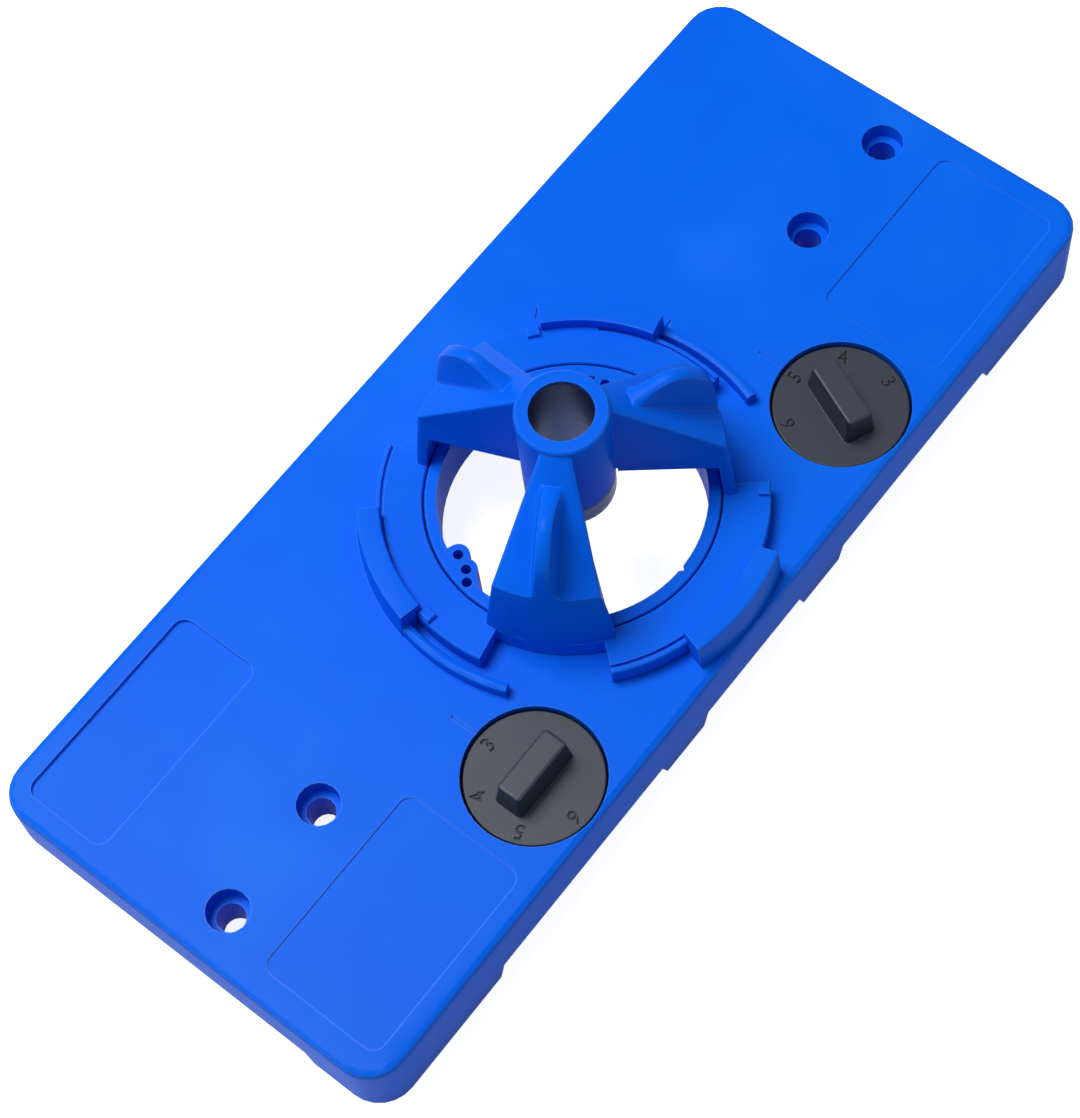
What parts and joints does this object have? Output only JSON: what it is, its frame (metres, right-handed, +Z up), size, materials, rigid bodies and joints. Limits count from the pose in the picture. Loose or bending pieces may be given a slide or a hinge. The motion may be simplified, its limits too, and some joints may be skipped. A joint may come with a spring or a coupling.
{
  "type": "hinge boring jig",
  "caption": "Moulded drilling jig for hinge cups: a ribbed base plate with a twist-lock bit guide on three arms and edge-offset dials that turn cams under it.",
  "frame": {"origin": "middle of the base plate's outline, level with the underside of the feet", "axes": "+X along the plate, +Y from the dials' side to the far side, +Z up along the drill bit"},
  "size_m": [0.221, 0.0924, 0.0546],
  "materials": {
    "blue_plastic": "fine moulded satin",
    "dark_plastic": "fine moulded satin",
    "bush_steel": "dark oxide, turned",
    "zinc_steel": "zinc plated"
  },
  "bodies": {
    "base": {"base_plate": "blue_plastic", "wave_washer_left": "zinc_steel", "wave_washer_right": "zinc_steel"},
    "guide": {"bit_guide": "blue_plastic", "guide_bush": "bush_steel"},
    "offset_left": {"dial_left": "dark_plastic", "edge_cam_left": "dark_plastic", "cam_screw_left": "zinc_steel", "flat_washer_left": "zinc_steel"},
    "offset_right": {"dial_right": "dark_plastic", "edge_cam_right": "dark_plastic", "cam_screw_right": "zinc_steel", "flat_washer_right": "zinc_steel"}
  },
  "joints": [
    {"name": "guide_twist", "type": "hinge", "parent": "base", "child": "guide", "pos_m": [0, -0.0036, 0.0214], "axis": [0, 0, 1], "range_deg": [0, 62]},
    {"name": "dial_left_turn", "type": "hinge", "parent": "base", "child": "offset_left", "pos_m": [-0.0475, -0.0316, 0.0161], "axis": [0, 0, 1], "continuous": true},
    {"name": "dial_right_turn", "type": "hinge", "parent": "base", "child": "offset_right", "pos_m": [0.0475, -0.0316, 0.0161], "axis": [0, 0, 1], "continuous": true}
  ]
}
